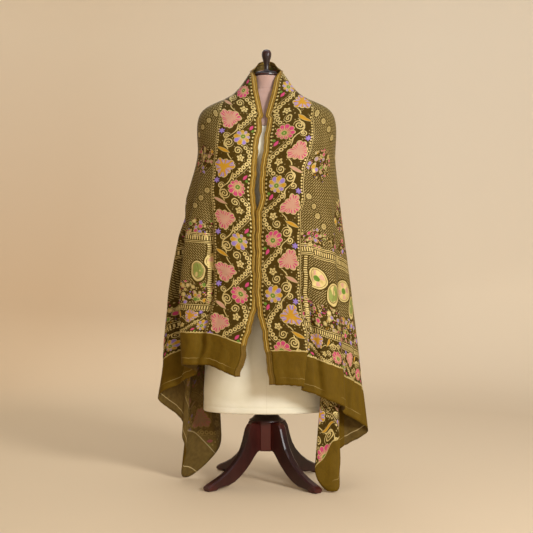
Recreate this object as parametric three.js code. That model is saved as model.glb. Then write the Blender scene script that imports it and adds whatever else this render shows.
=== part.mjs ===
// A brocade dupatta, 2435 x 1080 mm of one woven cloth, draped round the neck and shoulders of a
// limbless dress form on a turned wooden stand. Millimetres, +Z up, the wearer's front towards -Y.
import * as THREE from "three";

const CLOTH_WALL = 1.6;
const EDGING_WIDTH = 21; // woven gold edging along the upper long edge
const EDGING_WALL = 2.2;
const SEAM_GAP = 0.3; // clear space between two neighbouring stretches

const FINIAL_TOP = 1552;
const CAP_TOP = 1471;
const NECK_TOP = 1453;
const BODY_TOP = 1404;
const BODY_BOTTOM = 254;
const COLLAR_TOP = 253.7;
const BLOCK_TOP = 216;
const BLOCK_BOTTOM = 112;
const BLOCK_RADIUS = 45;
const LEG_REACH = 274; // from the pole's axis to a foot's tip
const LEG_WIDTH = 29;
const LEG_TURN = -4.3; // the four legs are turned a little about the pole, degrees
const JOINT_GAP = 0.3;

const group = new THREE.Group();
group.name = "draped_dupatta";

function addMesh(name, geometry, colour, roughness, metalness) {
  const material = new THREE.MeshStandardMaterial({ color: colour, roughness, metalness });
  material.side = THREE.DoubleSide;
  geometry.computeVertexNormals();
  const mesh = new THREE.Mesh(geometry, material);
  mesh.name = name;
  group.add(mesh);
  return mesh;
}

function geometryOf(points, triangles) {
  const flat = new Float32Array(points.length * 3);
  points.forEach((p, i) => flat.set(p, i * 3));
  const geometry = new THREE.BufferGeometry();
  geometry.setAttribute("position", new THREE.BufferAttribute(flat, 3));
  geometry.setIndex(triangles);
  return geometry;
}

// ---------------------------------------------------------------- small vector and curve helpers

const add = (a, b, k = 1) => a.map((value, i) => value + k * b[i]);
const between = (a, b, t) => a.map((value, i) => value + t * (b[i] - value));
const length = (a) => Math.hypot(...a);
const unit = (a) => a.map((value) => value / (length(a) || 1));
const cross = (a, b) => [
  a[1] * b[2] - a[2] * b[1],
  a[2] * b[0] - a[0] * b[2],
  a[0] * b[1] - a[1] * b[0],
];

// A smooth curve through rows of numbers at the given knots (cubic Hermite, tangents from neighbours).
function curveThrough(knots, rows) {
  const slope = rows.map((row, i) => {
    const before = Math.max(i - 1, 0);
    const after = Math.min(i + 1, rows.length - 1);
    const span = knots[after] - knots[before];
    return row.map((value, c) => (rows[after][c] - rows[before][c]) / span);
  });
  return (at) => {
    let i = knots.findIndex((knot) => knot > at) - 1;
    if (i < 0) i = at <= knots[0] ? 0 : rows.length - 2;
    const span = knots[i + 1] - knots[i];
    const t = (at - knots[i]) / span;
    const h0 = (1 + 2 * t) * (1 - t) ** 2;
    const h1 = t * (1 - t) ** 2;
    const h2 = t * t * (3 - 2 * t);
    const h3 = t * t * (t - 1);
    return rows[i].map(
      (value, c) =>
        h0 * value + h1 * span * slope[i][c] + h2 * rows[i + 1][c] + h3 * span * slope[i + 1][c],
    );
  };
}

// ---------------------------------------------------------------- how the cloth lies on the shoulders

// One row for each bearing round the form, from the front edge (4) to the centre back (180), of the
// wearer's right half as the viewer sees it on the left. Four rings go down from the neck: the
// inside of the edging, the base of the neck, the shoulder's rim and the chest line.
const SHOULDERS = [
  // bearing, edging x y z,    neck base x y z,    rim x y z,          chest x y z
  [4, -31, -94, 1302, -33, -98, 1292, -37, -104, 1278, -50, -150, 1140],
  [22, -42, -84, 1340, -62, -94, 1322, -96, -114, 1288, -116, -158, 1142],
  [38, -52, -66, 1386, -90, -82, 1354, -160, -106, 1292, -178, -142, 1142],
  [55, -60, -42, 1426, -108, -56, 1376, -212, -74, 1306, -226, -100, 1142],
  [72, -62, -20, 1446, -117, -25, 1386, -236, -36, 1315, -250, -50, 1143],
  [90, -62, 4, 1456, -120, 6, 1388, -242, 2, 1318, -257, 4, 1143],
  [110, -57, 28, 1468, -113, 38, 1390, -232, 46, 1320, -247, 54, 1144],
  [130, -46, 46, 1480, -95, 64, 1396, -198, 84, 1322, -214, 98, 1146],
  [150, -30, 56, 1490, -63, 82, 1402, -134, 108, 1326, -148, 130, 1150],
  [180, 0, 60, 1498, 0, 92, 1410, 0, 120, 1332, 0, 150, 1156],
];
const shoulderAt = curveThrough(
  SHOULDERS.map((row) => row[0]),
  SHOULDERS.map((row) => row.slice(1)),
);
// The right front edge lies nearer the middle than the left one, by this much at each ring.
const RIGHT_EDGE_SHIFT = [-12, -14, -18, -45];
const RIGHT_EDGE_FORWARD = [0, 0, -2, -6];
const EDGE_FADE = 60; // degrees

// The four shoulder rings at a signed bearing: negative is the viewer's left.
function shoulderRings(bearing) {
  const row = shoulderAt(Math.abs(bearing));
  const fade = Math.max(0, 1 - Math.abs(bearing) / EDGE_FADE) ** 2;
  return [0, 1, 2, 3].map((ring) => {
    const [x, y, z] = row.slice(ring * 3, ring * 3 + 3);
    if (bearing < 0) return [x, y, z];
    return [-x + RIGHT_EDGE_SHIFT[ring] * fade, y + RIGHT_EDGE_FORWARD[ring] * fade, z];
  });
}

// ---------------------------------------------------------------- the folds, one row each

// Each row is one line of the hang: its bearing on the shoulders, where it ends at the hem, and how
// far it bows from a straight fall halfway down. The rows go from the left front edge, round the
// left tail and the back, to the right front edge.
const FOLDS = [
  // name, bearing, hem x y z, bow x y
  ["left_edge", -4, -113, -195, 395, 24, 0],
  ["left_border_middle", -22, -163, -187, 417, 12, 0],
  ["left_border_crease", -38, -204, -160, 433, 2, 0],
  ["left_panel", -46, -251, -164, 432, 0, 0],
  ["left_panel_fold", -54, -301, -132, 430, -8, 0],
  ["left_turn_in", -61, -236, -98, 400, 12, 6],
  ["left_turn_out", -69, -302, -78, 366, 0, 6],
  ["left_rim", -84, -396, -20, 303, 0, 0],
  ["left_rear", -92, -345, 20, 252, 0, 4],
  ["left_rear_in", -98, -300, 18, 208, -8, 0],
  ["left_tail_front", -103, -307, 10, 156, 4, 0],
  ["left_tail_face", -107, -287, 8, 105, 2, 0],
  ["left_tail_curl", -111, -312, 26, 16, 22, 6],
  ["left_tip", -115, -278, 44, 5, 26, 8],
  ["left_tail_inner", -119, -204, 60, 66, 5, 4],
  ["left_tail_back", -124, -166, 100, 124, 0, 6],
  ["left_hollow", -129, -182, 118, 222, 0, 4],
  ["left_back_rise", -134, -226, 114, 300, 0, 0],
  ["back_1_out", -139, -294, 136, 352, 0, 0],
  ["back_2_in", -144, -226, 160, 392, 0, 0],
  ["back_3_out", -151, -186, 216, 412, 0, 0],
  ["back_4_in", -159, -118, 170, 425, 0, 0],
  ["back_5_out", -166, -78, 236, 434, 0, 0],
  ["back_6_in", -174, -22, 180, 440, 0, 0],
  ["back_7_out", -181, 36, 240, 441, 0, 0],
  ["back_8_in", -188, 92, 184, 438, 0, 0],
  ["back_9_out", -196, 150, 226, 430, 0, 0],
  ["back_10_in", -203, 192, 164, 420, 0, 0],
  ["back_11_out", -211, 262, 180, 412, 0, 0],
  ["back_12_in", -219, 250, 112, 406, 0, 0],
  ["right_back_rise", -227, 302, 66, 402, 0, 0],
  ["right_hollow", -233, 250, 14, 386, 0, 0],
  ["right_tail_back", -239, 224, -60, 350, 8, 0],
  ["right_tail_inner", -243, 200, -98, 290, 8, 0],
  ["right_tail_fold", -247, 180, -142, 160, 8, -6],
  ["right_tail_low", -250, 165, -174, 62, 10, -4],
  ["right_tail_corner", -253, 197, -190, 11, -2, 6],
  ["right_tip", -256, 223, -199, 5, -3, 12],
  ["right_tail_kink", -259, 247, -196, 10, -4, 9],
  ["right_tail_waist", -262, 250, -174, 50, 2, 12],
  ["right_tail_rim", -265, 250, -144, 88, 9, 6],
  ["right_turn", -269, 238, -92, 112, 20, -2],
  ["right_rear", -274, 272, -46, 132, 14, -6],
  ["right_rim", -280, 366, -58, 186, 0, 0],
  ["right_turn_out", -289, 316, -96, 232, 4, 0],
  ["right_turn_in", -297, 264, -118, 262, 0, 4],
  ["right_panel_fold", -304, 272, -164, 288, 4, 0],
  ["right_panel", -311, 222, -180, 309, 2, 0],
  ["right_knife_out", -318, 168, -188, 334, 0, 0],
  ["right_knife_in", -324, 116, -184, 349, 20, 0],
  ["right_knife_fold", -328, 132, -206, 362, 24, 0],
  ["right_border_middle", -339, 96, -210, 366, -8, 0],
  ["right_edge", -356, 33, -202, 368, -29, 0],
];
const COLUMNS_PER_FOLD = 4;
const EASING_PASSES = 2;
// Rows of the wall down each line: how many steps from one ring to the next.
const RINGS = [0, 90, 220, 380, 800, 1220];
const STEPS = [2, 3, 2, 4, 4];

const foldIndex = new Map(FOLDS.map((row, i) => [row[0], i]));
const foldKnots = FOLDS.map(() => 0);
for (let i = 1; i < FOLDS.length; i += 1) {
  const [, , xa, ya, za] = FOLDS[i - 1];
  const [, , xb, yb, zb] = FOLDS[i];
  foldKnots[i] = foldKnots[i - 1] + Math.hypot(xb - xa, yb - ya, zb - za) ** 0.5;
}
const foldAt = curveThrough(
  foldKnots,
  FOLDS.map((row) => row.slice(1)),
);

// The rows are filled in between, then eased twice so that a fold turns over in a small round.
const clothColumns = (FOLDS.length - 1) * COLUMNS_PER_FOLD;
let hangs = [];
for (let column = 0; column <= clothColumns; column += 1) {
  const fold = Math.min(Math.floor(column / COLUMNS_PER_FOLD), FOLDS.length - 2);
  const share = column / COLUMNS_PER_FOLD - fold;
  hangs.push(foldAt(foldKnots[fold] + share * (foldKnots[fold + 1] - foldKnots[fold])));
}
for (let pass = 0; pass < EASING_PASSES; pass += 1) {
  hangs = hangs.map((hang, i) => {
    if (i === 0 || i === clothColumns) return hang;
    return between(hang, between(hangs[i - 1], hangs[i + 1], 0.5), 0.5);
  });
}

// The line of one hang, from the edging down to the hem.
function hangingLine([bearing, x, y, z, bowX, bowY]) {
  const signed = bearing > -180 ? bearing : bearing + 360;
  const rings = shoulderRings(signed);
  const hem = [x, y, z];
  const middle = add(between(rings[3], hem, 0.5), [bowX, bowY, 0]);
  return curveThrough(RINGS, [...rings, middle, hem]);
}

const ringRow = [0];
STEPS.forEach((steps) => ringRow.push(ringRow.at(-1) + steps));
const lineStations = [];
STEPS.forEach((steps, ring) => {
  for (let s = 0; s < steps; s += 1) {
    lineStations.push(RINGS[ring] + ((RINGS[ring + 1] - RINGS[ring]) * s) / steps);
  }
});
lineStations.push(RINGS.at(-1));

const cloth = hangs.map((hang) => lineStations.map(hangingLine(hang)));

// ---------------------------------------------------------------- from a sheet to a closed wall

// The outward direction at every point of a grid, as the mean of the faces round it.
function gridNormals(grid) {
  const normals = grid.map((line) => line.map(() => [0, 0, 0]));
  for (let i = 0; i + 1 < grid.length; i += 1) {
    for (let j = 0; j + 1 < grid[0].length; j += 1) {
      const corners = [
        [i, j],
        [i + 1, j],
        [i + 1, j + 1],
        [i, j + 1],
      ];
      const [a, b, c, d] = corners.map(([p, q]) => grid[p][q]);
      const face = cross(add(c, a, -1), add(d, b, -1));
      for (const [p, q] of corners) normals[p][q] = add(normals[p][q], face);
    }
  }
  return normals.map((line) => line.map(unit));
}

// A closed wall round the block of the grid between two columns and two rows, drawn in at its rim
// by half of a seam's gap.
function wallOf(grid, normals, firstColumn, lastColumn, firstRow, lastRow, wall, stride = 1) {
  const columns = [];
  for (let i = firstColumn; i < lastColumn; i += stride) columns.push(i);
  columns.push(lastColumn);
  const rows = [];
  for (let j = firstRow; j <= lastRow; j += 1) rows.push(j);
  const drawnIn = (p, q, k) => add(p, unit(add(q, p, -1)), k);
  const points = [];
  const index = (side, i, j) => (side * columns.length + i) * rows.length + j;
  for (const side of [0, 1]) {
    for (let i = 0; i < columns.length; i += 1) {
      for (let j = 0; j < rows.length; j += 1) {
        let p = grid[columns[i]][rows[j]];
        const inColumn = i === 0 ? 1 : columns.length - 2;
        const inRow = j === 0 ? 1 : rows.length - 2;
        const here = p;
        if (i === 0 || i === columns.length - 1) {
          p = drawnIn(p, grid[columns[inColumn]][rows[j]], SEAM_GAP / 2);
        }
        if (j === 0 || j === rows.length - 1) {
          p = add(p, unit(add(grid[columns[i]][rows[inRow]], here, -1)), SEAM_GAP / 2);
        }
        points.push(add(p, normals[columns[i]][rows[j]], (side ? 0.5 : -0.5) * wall));
      }
    }
  }
  const triangles = [];
  const quad = (a, b, c, d) => {
    const across = length(add(points[a], points[c], -1));
    const other = length(add(points[b], points[d], -1));
    if (across <= other) triangles.push(a, b, c, a, c, d);
    else triangles.push(a, b, d, b, c, d);
  };
  const last = [columns.length - 1, rows.length - 1];
  for (let i = 0; i < last[0]; i += 1) {
    for (let j = 0; j < last[1]; j += 1) {
      quad(index(1, i, j), index(1, i + 1, j), index(1, i + 1, j + 1), index(1, i, j + 1));
      quad(index(0, i, j + 1), index(0, i + 1, j + 1), index(0, i + 1, j), index(0, i, j));
    }
    quad(index(0, i, 0), index(0, i + 1, 0), index(1, i + 1, 0), index(1, i, 0));
    quad(index(1, i, last[1]), index(1, i + 1, last[1]), index(0, i + 1, last[1]), index(0, i, last[1]));
  }
  for (let j = 0; j < last[1]; j += 1) {
    quad(index(1, 0, j), index(1, 0, j + 1), index(0, 0, j + 1), index(0, 0, j));
    quad(index(0, last[0], j), index(0, last[0], j + 1), index(1, last[0], j + 1), index(1, last[0], j));
  }
  return geometryOf(points, triangles);
}

// ---------------------------------------------------------------- the stretches of the dupatta

const clothNormals = gridNormals(cloth);
// A seam lies on a fold's line, or a few columns on from it where the fold itself is sharp.
const columnOf = ([name, onward]) => foldIndex.get(name) * COLUMNS_PER_FOLD + onward;
const rimRow = ringRow[2];
const hemRow = ringRow[5];

const STRETCHES = [
  // node, from fold and columns on, to fold and columns on, colour
  ["left_front", ["left_edge", 0], ["left_panel_fold", 2], 0x6b5322],
  ["left_side", ["left_panel_fold", 2], ["left_rear", 0], 0x5d481d],
  ["left_tail", ["left_rear", 0], ["left_back_rise", 2], 0x57411a],
  ["back", ["left_back_rise", 2], ["right_back_rise", 2], 0x5f4a1e],
  ["right_tail", ["right_back_rise", 2], ["right_rear", 0], 0x57411a],
  ["right_side", ["right_rear", 0], ["right_panel_fold", -2], 0x5d481d],
  ["right_front", ["right_panel_fold", -2], ["right_edge", 0], 0x6b5322],
];
for (const [node, from, to, colour] of STRETCHES) {
  const wall = wallOf(
    cloth,
    clothNormals,
    columnOf(from),
    columnOf(to),
    rimRow,
    hemRow,
    CLOTH_WALL,
  );
  addMesh(node, wall, colour, 0.62, 0.1);
}
const neckWall = wallOf(cloth, clothNormals, 0, clothColumns, 0, rimRow, CLOTH_WALL, 2);
addMesh("neck_stretch", neckWall, 0x6b5322, 0.62, 0.1);

// The woven edging runs on from the cloth's upper long edge: up the left front, round the neck and
// down the right front.
function edgingOf(boundary, normals) {
  let outward = boundary.map((p, i) => {
    const before = boundary[Math.max(i - 1, 0)];
    const after = boundary[Math.min(i + 1, boundary.length - 1)];
    return unit(cross(unit(add(after, before, -1)), normals[i]));
  });
  for (let pass = 0; pass < 4; pass += 1) {
    outward = outward.map((here, i) => {
      const before = outward[Math.max(i - 1, 0)];
      const after = outward[Math.min(i + 1, outward.length - 1)];
      return unit(add(add(before, after), here, 2));
    });
  }
  const strip = boundary.map((p, i) => [add(p, outward[i], EDGING_WIDTH), p]);
  return wallOf(
    strip,
    normals.map((n) => [n, n]),
    0,
    strip.length - 1,
    0,
    1,
    EDGING_WALL,
  );
}
const leftRows = cloth[0].map((_, j) => j).reverse();
const leftEdge = leftRows.map((j) => cloth[0][j]);
const leftNormals = leftRows.map((j) => clothNormals[0][j]);
const neckColumns = cloth.map((_, i) => i).filter((i) => i % 2 === 0);
addMesh("left_edging", edgingOf(leftEdge, leftNormals), 0xa07c30, 0.5, 0.25);
addMesh(
  "neck_edging",
  edgingOf(
    neckColumns.map((i) => cloth[i][0]),
    neckColumns.map((i) => clothNormals[i][0]),
  ),
  0xa07c30,
  0.5,
  0.25,
);
addMesh("right_edging", edgingOf(cloth.at(-1), clothNormals.at(-1)), 0xa07c30, 0.5, 0.25);

// ---------------------------------------------------------------- the dress form

const FORM_SECTIONS = [
  // height, half width, depth to the front, depth to the back
  [BODY_BOTTOM, 228, 117, 112],
  [330, 226, 119, 114],
  [460, 221, 120, 117],
  [600, 210, 119, 119],
  [720, 198, 116, 120],
  [820, 182, 110, 114],
  [900, 158, 100, 100],
  [975, 134, 90, 86],
  [1040, 142, 98, 86],
  [1110, 160, 124, 92],
  [1165, 176, 134, 98],
  [1215, 200, 120, 104],
  [1255, 220.5, 101, 107],
  [1290, 232.6, 87, 103],
  [1310.5, 233.6, 78, 96],
  [1328.6, 225, 71, 88],
  [1344.6, 205, 65, 80],
  [1358.6, 177, 61, 73],
  [1372.6, 141.4, 58, 67],
  [1385.6, 103.4, 55, 61],
  [1396.5, 74.4, 53, 57],
  [BODY_TOP, 56, 50, 52],
];
const FORM_STEPS = 36;
function formSection([height, halfWidth, front, back]) {
  const ring = [];
  for (let i = 0; i < FORM_STEPS; i += 1) {
    const angle = (2 * Math.PI * i) / FORM_STEPS;
    const s = Math.sin(angle);
    const c = Math.cos(angle);
    const depth = s < 0 ? front : back;
    ring.push([halfWidth * Math.sign(c) * Math.abs(c) ** 0.92, depth * s, height]);
  }
  return ring;
}

// A closed body through rings of equal count, capped flat at both ends.
function loftOf(rings) {
  const count = rings[0].length;
  const points = rings.flat();
  const triangles = [];
  for (let k = 0; k + 1 < rings.length; k += 1) {
    for (let i = 0; i < count; i += 1) {
      const a = k * count + i;
      const b = k * count + ((i + 1) % count);
      triangles.push(a, b, b + count, a, b + count, a + count);
    }
  }
  const capOf = (start, up) => {
    const centre = points.length;
    const sum = rings[start].reduce((total, p) => add(total, p), [0, 0, 0]);
    points.push(sum.map((value) => value / count));
    for (let i = 0; i < count; i += 1) {
      const a = start * count + i;
      const b = start * count + ((i + 1) % count);
      if (up) triangles.push(centre, a, b);
      else triangles.push(centre, b, a);
    }
  };
  capOf(0, false);
  capOf(rings.length - 1, true);
  return geometryOf(points, triangles);
}
addMesh("form_body", loftOf(FORM_SECTIONS.map(formSection)), 0xdccdaa, 0.85, 0);

// A turned body from (radius, height) pairs, from the bottom up.
function turned(profile, steps, startAngle = 0) {
  const rings = profile.map(([radius, height]) => {
    const ring = [];
    for (let i = 0; i < steps; i += 1) {
      const angle = startAngle + (2 * Math.PI * i) / steps;
      ring.push([radius * Math.cos(angle), radius * Math.sin(angle), height]);
    }
    return ring;
  });
  return loftOf(rings);
}

const NECK = [
  [52, BODY_TOP + JOINT_GAP],
  [49, 1414],
  [47, 1426],
  [46.5, NECK_TOP],
];
addMesh("form_neck", turned(NECK, 32), 0xd3a9a0, 0.7, 0);

const CAP = [
  [46, NECK_TOP + JOINT_GAP],
  [47.5, 1455.5],
  [47.5, 1460],
  [46, 1462],
  [43, 1463],
  [42, 1466],
  [36, 1469.5],
  [26, CAP_TOP],
];
addMesh("neck_cap", turned(CAP, 32), 0x2a1210, 0.28, 0);

const FINIAL = [
  [15, CAP_TOP + JOINT_GAP],
  [12, 1475],
  [8.6, 1480],
  [8.2, 1492],
  [9.5, 1500],
  [11.5, 1508],
  [14.5, 1518],
  [17, 1528],
  [17.6, 1536],
  [16, 1544],
  [11.5, 1549.5],
  [5, FINIAL_TOP],
];
addMesh("finial", turned(FINIAL, 24), 0x2a1210, 0.25, 0);

// ---------------------------------------------------------------- the wooden stand

const COLLAR = [
  [40, BLOCK_TOP + JOINT_GAP],
  [60, BLOCK_TOP + JOINT_GAP],
  [62.5, 218.8],
  [61.5, 221.5],
  [55, 224.5],
  [49, 230],
  [44, 235.5],
  [41.5, 238],
  [38.5, 239.5],
  [38.5, COLLAR_TOP],
];
addMesh("stand_collar", turned(COLLAR, 32), 0x24100e, 0.3, 0);
const BLOCK = [
  [BLOCK_RADIUS - 4, BLOCK_BOTTOM],
  [BLOCK_RADIUS, BLOCK_BOTTOM + 4],
  [BLOCK_RADIUS, BLOCK_TOP],
];
addMesh("stand_block", turned(BLOCK, 8, Math.PI / 8 + (LEG_TURN * Math.PI) / 180), 0x24100e, 0.3, 0);

const LEG_PROFILE = [
  // distance from the axis and height of the upper face, the same of the lower face, share of width
  [43, 214.5, 43, 116, 1.0],
  [56, 215.6, 52, 108, 1.0],
  [70, 215.6, 62, 98, 1.0],
  [82, 211.5, 71, 88, 1.0],
  [90, 199, 79, 78, 1.0],
  [96, 180, 87, 69, 0.98],
  [103, 158, 96, 60, 0.96],
  [114, 132, 110, 47, 0.94],
  [133, 104, 130, 31, 0.92],
  [160, 77, 154, 17, 0.92],
  [192, 54, 180, 9, 0.96],
  [224, 38, 208, 7, 1.02],
  [248, 28, 228, 4, 1.1],
  [262, 22, 236, 0, 1.16],
  [LEG_REACH, 15, LEG_REACH - 4, 0, 1.16],
];
const LEG_SOFTEN = 5;
function legGeometry(bearing) {
  const turn = (bearing * Math.PI) / 180;
  const place = (r, side, z) => [
    r * Math.cos(turn) - side * Math.sin(turn),
    r * Math.sin(turn) + side * Math.cos(turn),
    z,
  ];
  const blockFlat = BLOCK_RADIUS * Math.cos(Math.PI / 8) + JOINT_GAP;
  const rings = LEG_PROFILE.map(([topR, topZ, lowR, lowZ, share], k) => {
    const half = (LEG_WIDTH * share) / 2;
    const start = k === 0 ? blockFlat : 0;
    const upR = k === 0 ? start : topR;
    const downR = k === 0 ? start : lowR;
    const across = unit([topR - lowR || 1e-6, topZ - lowZ]);
    const soft = k === 0 ? 0.5 : LEG_SOFTEN;
    const ring = [];
    const corner = (r, z, side, outR, outZ) => {
      ring.push(place(r + outR * soft, side, z + outZ * soft));
    };
    const [ar, az] = k === 0 ? [0, 1] : across;
    corner(downR, lowZ, half - soft, 0, 0);
    corner(downR, lowZ, half, ar, az);
    corner(upR, topZ, half, -ar, -az);
    corner(upR, topZ, half - soft, 0, 0);
    corner(upR, topZ, -(half - soft), 0, 0);
    corner(upR, topZ, -half, -ar, -az);
    corner(downR, lowZ, -half, ar, az);
    corner(downR, lowZ, -(half - soft), 0, 0);
    return ring;
  });
  return loftOf(rings);
}
const LEGS = [
  ["leg_front_left", -135],
  ["leg_front_right", -45],
  ["leg_back_right", 45],
  ["leg_back_left", 135],
];
for (const [name, bearing] of LEGS) {
  addMesh(name, legGeometry(bearing + LEG_TURN), 0x2a1210, 0.28, 0);
}

// The frame's origin is the middle of the ground plan, on the floor.
const bounds = new THREE.Box3().setFromObject(group);
const middle = bounds.getCenter(new THREE.Vector3());
for (const mesh of group.children) mesh.geometry.translate(-middle.x, -middle.y, -bounds.min.z);

export default group;
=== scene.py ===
import math
import bpy
import numpy as np
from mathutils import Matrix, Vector


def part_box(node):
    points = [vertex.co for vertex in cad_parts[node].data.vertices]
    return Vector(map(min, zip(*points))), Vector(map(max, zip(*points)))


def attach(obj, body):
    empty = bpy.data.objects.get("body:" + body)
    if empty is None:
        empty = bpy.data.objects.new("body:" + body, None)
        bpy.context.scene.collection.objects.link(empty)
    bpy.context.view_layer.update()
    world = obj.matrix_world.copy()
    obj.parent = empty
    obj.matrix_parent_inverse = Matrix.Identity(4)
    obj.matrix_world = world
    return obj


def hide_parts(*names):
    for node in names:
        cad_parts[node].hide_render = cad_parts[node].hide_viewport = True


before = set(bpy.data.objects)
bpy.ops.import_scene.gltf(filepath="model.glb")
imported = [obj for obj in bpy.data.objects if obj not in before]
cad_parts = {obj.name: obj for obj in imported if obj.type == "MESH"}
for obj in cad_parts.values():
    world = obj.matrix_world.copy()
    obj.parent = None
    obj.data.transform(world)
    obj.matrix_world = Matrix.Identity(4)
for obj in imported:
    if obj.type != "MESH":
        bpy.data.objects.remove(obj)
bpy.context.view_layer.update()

# Camera: level, straight in front of the stand at half its height, with a long lens.
# The stand's axis is read from the neck of the dress form.
neck_low, neck_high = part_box("form_neck")
AXIS_X = (neck_low.x + neck_high.x) / 2
AXIS_Y = (neck_low.y + neck_high.y) / 2
LENS = 67.5
SENSOR_WIDTH = 36.0
CAMERA_AWAY = 3.6
CAMERA_HEIGHT = 0.771
camera_data = bpy.data.cameras.new("camera")
camera_data.lens = LENS
camera_data.sensor_width = SENSOR_WIDTH
camera = bpy.data.objects.new("camera", camera_data)
camera.location = (AXIS_X, AXIS_Y - CAMERA_AWAY, CAMERA_HEIGHT)
camera.rotation_euler = (math.pi / 2, 0, 0)
bpy.context.scene.collection.objects.link(camera)
bpy.context.scene.camera = camera
bpy.context.scene.view_settings.view_transform = "Standard"

# Studio: a warm beige sweep, a flat floor that curves up into a wall all round, and soft lamps.
# The wall stands further out than any camera, so it closes every view.
SWEEP_RADIUS = 6.4
SWEEP_HEIGHT = 5.2
SWEEP_CURVE = 3.2
FLOOR_DROP = 0.0005


def add_mesh(name, points, faces):
    mesh = bpy.data.meshes.new(name)
    mesh.from_pydata([tuple(map(float, p)) for p in points], [], [tuple(map(int, f)) for f in faces])
    mesh.validate()
    piece = bpy.data.objects.new(name, mesh)
    bpy.context.scene.collection.objects.link(piece)
    return piece


def smooth(piece, flat_ends=0):
    """Smooth shading on all faces but the last few, which are the flat ends of a turned body."""
    count = len(piece.data.polygons)
    piece.data.polygons.foreach_set("use_smooth", [k < count - flat_ends for k in range(count)])
    piece.data.update()


def lathe(name, profile, steps, centre=(0.0, 0.0), closed_ends=True, turn=0.0):
    """A turned body from (radius, height) pairs in metres, bottom first."""
    points, faces = [], []
    for radius, height in profile:
        for k in range(steps):
            angle = turn + 2 * math.pi * k / steps
            x = centre[0] + radius * math.cos(angle)
            y = centre[1] + radius * math.sin(angle)
            points.append((x, y, height))
    for j in range(len(profile) - 1):
        for k in range(steps):
            a, b = j * steps + k, j * steps + (k + 1) % steps
            faces.append((a, b, b + steps, a + steps))
    if closed_ends:
        faces.append(tuple(reversed(range(steps))))
        faces.append(tuple((len(profile) - 1) * steps + k for k in range(steps)))
    return add_mesh(name, points, faces)


class Socket:
    """One output of a shader node; arithmetic on it adds Math nodes."""

    def __init__(self, tree, output):
        self.tree, self.output = tree, output

    def node(self, kind, settings=None, inputs=None, out=0):
        made = self.tree.nodes.new(kind)
        for key, value in (settings or {}).items():
            setattr(made, key, value)
        for key, value in (inputs or {}).items():
            target = made.inputs[key]
            if isinstance(value, Socket):
                self.tree.links.new(value.output, target)
            else:
                target.default_value = value
        return Socket(self.tree, made.outputs[out])

    def maths(self, operation, *others, clamp=False):
        values = (self, *others)
        settings = {"operation": operation, "use_clamp": clamp}
        return self.node("ShaderNodeMath", settings, dict(enumerate(values)))

    def __add__(self, other):
        return self.maths("ADD", other)

    def __sub__(self, other):
        return self.maths("SUBTRACT", other)

    def __rsub__(self, other):
        return self.node("ShaderNodeMath", {"operation": "SUBTRACT"}, {0: other, 1: self})

    def __mul__(self, other):
        return self.maths("MULTIPLY", other)

    __radd__, __rmul__ = __add__, __mul__

    def least(self, other):
        return self.maths("MINIMUM", other)

    def most(self, other):
        return self.maths("MAXIMUM", other)

    def size(self):
        return self.maths("ABSOLUTE")

    def sine(self):
        return self.maths("SINE")

    def cosine(self):
        return self.maths("COSINE")

    def part(self):
        return self.maths("FRACT")

    def floor(self):
        return self.maths("FLOOR")

    def scaled(self, factor, offset):
        """This times a factor plus an offset, kept between 0 and 1."""
        return self.maths("MULTIPLY_ADD", factor, offset, clamp=True)

    def output_at(self, number):
        """Another output of the same node."""
        return Socket(self.tree, self.output.node.outputs[number])

    def object_place(self):
        """Object coordinates, in metres."""
        return self.node("ShaderNodeTexCoord", out=3)

    def map_place(self, name):
        """The place on a UV map of the piece's own."""
        return self.node("ShaderNodeUVMap", {"uv_map": name})

    def noise(self, scale, detail=2.0, distortion=0.0):
        """Soft noise over this place."""
        inputs = {"Vector": self, "Scale": scale, "Detail": detail, "Distortion": distortion}
        return self.node("ShaderNodeTexNoise", None, inputs)

    def cells(self, scale, randomness):
        """Distance from the nearest of points scattered over this place, and two numbers of that point."""
        inputs = {"Vector": self, "Scale": scale, "Randomness": randomness}
        near = self.node("ShaderNodeTexVoronoi", {"feature": "F1"}, inputs)
        paint = near.output_at(1)
        pick = paint.node("ShaderNodeSeparateColor", None, {0: paint})
        return near, pick, pick.output_at(1)

    def bump(self, strength, distance, below=None):
        """The normal of this height map, over the normal `below` if there is one."""
        inputs = {"Height": self, "Strength": strength, "Distance": distance}
        if below:
            inputs["Normal"] = below
        return self.node("ShaderNodeBump", None, inputs)

    def inside(self, soft=0.8):
        """1 where this distance is below zero, 0 above it, over a soft rim."""
        return self.maths("MULTIPLY_ADD", -1.0 / soft, 0.5, clamp=True)

    def over(self, lower, upper):
        """Lays the colour `upper` over `lower` by this mask."""
        data = {"data_type": "RGBA", "blend_type": "MIX"}
        colour = lambda c: c if isinstance(c, Socket) else (*c, 1.0)
        return self.node("ShaderNodeMix", data, {0: self, 6: colour(lower), 7: colour(upper)}, out=2)


def new_material(name):
    """A material with its shader, and a socket to build from."""
    material = bpy.data.materials.new(name)
    material.use_nodes = True
    shader = material.node_tree.nodes["Principled BSDF"]
    start = Socket(material.node_tree, None)
    return material, shader, start


def feed(shader, name, value):
    if isinstance(value, Socket):
        value.tree.links.new(value.output, shader.inputs[name])
    else:
        shader.inputs[name].default_value = value


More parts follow.
